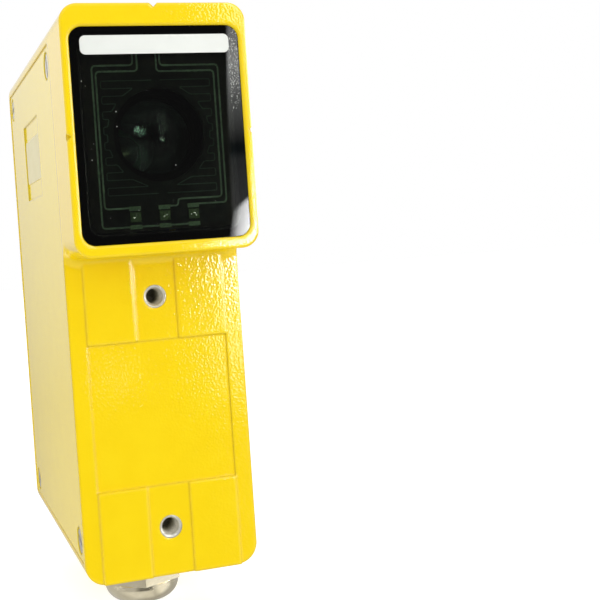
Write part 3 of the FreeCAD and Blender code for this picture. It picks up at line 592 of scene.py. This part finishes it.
def ribbon(path, look, points, faces):
    # adds one raised strip on the board, closed all round
    y = boardFront
    rise = look["rise"]
    start = len(points)
    last = len(path) - 1
    for index, spot in enumerate(path):
        ahead = path[min(index + 1, last)] - path[max(index - 1, 0)]
        side = Vector((-ahead.y, ahead.x)).normalized() * (look["width"] / 2)
        left = spot + side
        right = spot - side
        points += [(left.x, y, left.y), (left.x, y - rise, left.y)]
        points += [(right.x, y - rise, right.y), (right.x, y, right.y)]
    for index in range(last):
        a = start + index * 4
        b = a + 4
        faces += [(a, a + 1, b + 1, b), (a + 1, a + 2, b + 2, b + 1)]
        faces += [(a + 2, a + 3, b + 3, b + 2), (a + 3, a, b, b + 3)]
    end = start + last * 4
    faces += [(start + 3, start + 2, start + 1, start), (end, end + 1, end + 2, end + 3)]


trackLook = {"colour": "#9EC6A0", "dark": "#89B08C", "rough": 0.4, "grainMm": 0.6, "grainDepthMm": 0.003,
             "edgeMm": 0.05, "width": 0.5, "rise": 0.05, "corner": 1.1,
             "paths": [[(-6.2, 101.0), (-6.2, 97.9), (-17.6, 97.9), (-17.6, 53.95), (9.6, 53.95)],
                       [(1.4, 101.0), (1.4, 97.7), (18.0, 97.7), (18.0, 59.35), (8.6, 59.35)],
                       [(-5.0, 101.0), (-5.0, 96.3), (-16.6, 96.3), (-16.6, 59.15), (-8.6, 59.15)],
                       [(0.4, 101.0), (0.4, 96.1), (16.7, 96.1), (16.7, 60.95), (4.0, 60.95), (4.0, 59.15),
                        (0.4, 59.15)]]}
points, faces = [], []
for path in trackLook["paths"]:
    ribbon(roundedPath(path, trackLook["corner"]), trackLook, points, faces)
addPiece("board_tracks", points, faces, mouldedFinish("trackMask", trackLook))

# heater wire printed round the lens hole: rows to and fro that stop at the hole's circle
heaterLook = {"colour": "#426750", "dark": "#3B5C46", "rough": 0.4, "grainMm": 0.6, "grainDepthMm": 0.003,
              "edgeMm": 0.05, "width": 0.32, "rise": 0.03, "corner": 0.5, "outer": 15.4, "top": 93.75,
              "rowGap": 2.067, "rows": 16, "circle": 14.5, "middleGap": 1.2, "shortest": 0.9}
lensLow, lensHigh = boxMm("lens")
beamZ = (lensLow[2] + lensHigh[2]) / 2
points, faces = [], []
for hand in (-1, 1):
    path = []
    for row in range(heaterLook["rows"]):
        z = heaterLook["top"] - row * heaterLook["rowGap"]
        chord = math.sqrt(max(0.0, heaterLook["circle"] ** 2 - (z - beamZ) ** 2))
        inner = max(heaterLook["middleGap"], chord)
        inner = min(inner, heaterLook["outer"] - heaterLook["shortest"])
        ends = [(hand * inner, z), (hand * heaterLook["outer"], z)]
        path += ends if row % 2 == 0 else ends[::-1]
    ribbon(roundedPath(path, heaterLook["corner"]), heaterLook, points, faces)
addPiece("heater_tracks", points, faces, mouldedFinish("heaterMask", heaterLook))

# solder pads above and below each indicator
padLook = {"colour": "#94BE90", "dark": "#84AB7E", "rough": 0.4, "grainMm": 0.4, "grainDepthMm": 0.006,
           "edgeMm": 0.06, "length": 3.3, "width": 1.2, "rise": 0.09, "end": 0.2, "rows": (58.95, 53.9),
           "pitch": 8.25}
padHalf = padLook["length"] / 2
padStops = (-padHalf, -padHalf + padLook["end"], padHalf - padLook["end"], padHalf)
points, faces = [], []
for step in (-1, 0, 1):
    for z in padLook["rows"]:
        path = [Vector((step * padLook["pitch"] + stop, z)) for stop in padStops]
        ribbon(path, padLook, points, faces)
addPiece("solder_pads", points, faces, mouldedFinish("padMask", padLook))

# bright dies in the indicators' clear tops, as small wedges at (x, height in the row) sunk into them
dieLook = {"colour": "#F4F6F0", "dark": "#D4DACF", "rough": 0.24, "grainMm": 0.2, "grainDepthMm": 0.002,
           "blotchMm": 0.6, "edgeMm": 0.02, "half": 0.18, "lean": 0.105, "rise": 0.04, "sunk": 0.25,
           "row": 56.55,
           "spots": ((-8.75, -0.15), (-0.3, -0.1), (0.5, 0.1), (7.45, 0.05), (8.3, 0.3), (8.75, -0.2))}
wedgeFaces = ((0, 1, 2, 3), (7, 6, 5, 4), (0, 4, 5, 1), (1, 5, 6, 2), (2, 6, 7, 3), (3, 7, 4, 0))
ledFront = boxMm("indicator_leds")[0][1]
points, faces = [], []
for x, lift in dieLook["spots"]:
    start = len(points)
    half = dieLook["half"]
    z = dieLook["row"] + lift
    near = ledFront - dieLook["rise"]
    far = near + 2 * half * dieLook["lean"]
    deep = ledFront + dieLook["sunk"]
    for leftY, rightY in ((near, far), (deep, deep)):
        points += [(x - half, leftY, z - half), (x + half, rightY, z - half)]
        points += [(x + half, rightY, z + half), (x - half, leftY, z + half)]
    faces += [tuple(start + corner for corner in face) for face in wedgeFaces]
addPiece("led_dies", points, faces, metalFinish("dieSilver", dieLook))
print("board tracks, pads and dies built")


# bare chamfers and threads in the two fixing holes, their colour painted lighter near the mouth as a painted
# highlight and darker towards the far end as painted shade
threadLook = {"paintedLightByDepth": [(0.045, "#DCDAD2"), (0.075, "#BDB9A8"), (0.14, "#E2DED0"), (0.35, "#F0ECDE"),
                         (0.6, "#C8C3A9"), (0.85, "#8E8971")],
              "stain": "#8C8772", "stainMost": 0.2, "rough": 0.3, "grainMm": 0.3, "grainDepthMm": 0.004,
              "blotchMm": 1.5, "edgeMm": 0.08, "metal": 0.25, "front": -0.9, "mouth": 3.38, "neckY": -0.05,
              "neck": 2.5, "root": 2.48, "crest": 2.16, "pitch": 1.0, "ridgeSlope": 2.4, "runIn": 0.8,
              "depth": 10.0, "point": 0.9, "around": 48, "perTurn": 8,
              "skin": ((-0.02, 2.505), (10.0, 2.497)), "skinPoint": 1.0,
              "holes": {"lower_hole_thread": -33.75, "upper_hole_thread": 33.75}}
bareMetal, tree, shader = startFinish("threadBare")
y = axes(tree, "Object")[1]
inwards = spread(tree, y, 0.0, 1.0, (threadLook["front"] * mm, threadLook["depth"] * mm))
stains = spread(tree, grain(tree, threadLook["blotchMm"]), 0.0, threadLook["stainMost"])
# colour by depth: painted highlight near the mouth, painted shade deeper in, with random stains over it
tone = blendColour(tree, stains, shades(tree, inwards, threadLook["paintedLightByDepth"]), linear(threadLook["stain"]))
streak = grain(tree, threadLook["grainMm"], detail=3.0)
setInputs(tree, shader, colour=tone, metal=threadLook["metal"],
          rough=spread(tree, streak, *(threadLook["rough"] * share for share in streakRough)),
          normal=bumped(tree, streak, threadLook["grainDepthMm"], softEdge(tree, threadLook["edgeMm"])))


def threadRadius(along, turnShare):
    # along counts turns from the mouth: a rounded ridge that rises out of the plain bore
    phase = (along + turnShare) % 1.0
    ridge = max(0.0, 1.0 - abs(phase - 0.5) * threadLook["ridgeSlope"])
    runIn = min(1.0, along / threadLook["runIn"])
    return threadLook["root"] - (threadLook["root"] - threadLook["crest"]) * ridge * runIn


count = threadLook["around"]
rings = int(threadLook["depth"] / threadLook["pitch"] * threadLook["perTurn"])
for name, holeZ in threadLook["holes"].items():
    points, faces = [], []
    for y, radius in ((threadLook["front"], threadLook["mouth"]), (threadLook["neckY"], threadLook["neck"])):
        points += [onCircle(0.0, y, holeZ, radius, step, count) for step in range(count)]
    for ring in range(rings + 1):
        along = ring / threadLook["perTurn"]
        for step in range(count):
            radius = threadRadius(along, step / count)
            points.append(onCircle(0.0, along * threadLook["pitch"], holeZ, radius, step, count))
    for ring in range(rings + 2):
        for step in range(count):
            a = ring * count + step
            b = ring * count + (step + 1) % count
            faces.append((a, b, b + count, a + count))
    # drill point at the end
    tip = len(points)
    points.append((0.0, threadLook["depth"] + threadLook["point"], holeZ))
    # plain skin behind the thread, from the same mouth to a point of its own, so the sleeve is closed
    skin = len(points)
    for y, radius in threadLook["skin"]:
        points += [onCircle(0.0, y, holeZ, radius, step, count) for step in range(count)]
    skinTip = len(points)
    points.append((0.0, threadLook["depth"] + threadLook["skinPoint"], holeZ))
    for step in range(count):
        ahead = (step + 1) % count
        faces.append((tip - count + step, tip - count + ahead, tip))
        faces.append((step, skin + step, skin + ahead, ahead))
        faces.append((skin + step, skin + count + step, skin + count + ahead, skin + ahead))
        faces.append((skin + count + step, skinTip, skin + count + ahead))
    addPiece(name, points, faces, bareMetal, smooth=True)
print("hole threads built")


# dust on the window: small low lumps, most of them by its right edge
dustLook = {"colour": "#E9ECE6", "dark": "#C9CEC6", "rough": 0.7, "grainMm": 0.1, "grainDepthMm": 0.002,
            "edgeMm": 0.02, "seed": 7, "sides": 6, "ragged": (0.6, 1.0), "rise": 0.03,
            "radii": (0.05, 0.155), "anywhere": 10, "margin": 1.5, "belowTop": 9.0,
            "byEdge": 320, "edgeStrip": (20.6, 23.3), "edgeHeight": (84.0, 107.4, 97.0),
            "big": 0.16, "bigAt": ((-21.0, 93.5), (-19.6, 72.4), (-12.2, 85.1))}
chance = random.Random(dustLook["seed"])
windowLow, windowHigh = boxMm("front_window")
margin = dustLook["margin"]
flakes = [(x, z, dustLook["big"]) for x, z in dustLook["bigAt"]]
for index in range(dustLook["anywhere"]):
    x = chance.uniform(windowLow[0] + margin, windowHigh[0] - margin)
    z = chance.uniform(windowLow[2] + margin, windowHigh[2] - dustLook["belowTop"])
    flakes.append((x, z, chance.uniform(*dustLook["radii"])))
for index in range(dustLook["byEdge"]):
    x = chance.uniform(*dustLook["edgeStrip"])
    z = chance.triangular(*dustLook["edgeHeight"])
    flakes.append((x, z, chance.uniform(*dustLook["radii"])))
sides = dustLook["sides"]
points, faces = [], []
for x, z, radius in flakes:
    start = len(points)
    for step in range(sides):
        reach = radius * chance.uniform(*dustLook["ragged"])
        points.append(onCircle(x, windowLow[1], z, reach, step, sides))
    points.append((x, windowLow[1] - dustLook["rise"], z))
    faces.append(tuple(range(start + sides - 1, start - 1, -1)))
    faces += [(start + (step + 1) % sides, start + sides, start + step) for step in range(sides)]
addPiece("window_dust", points, faces, mouldedFinish("paleDust", dustLook))
print("window dust scattered:", len(flakes), "flakes")
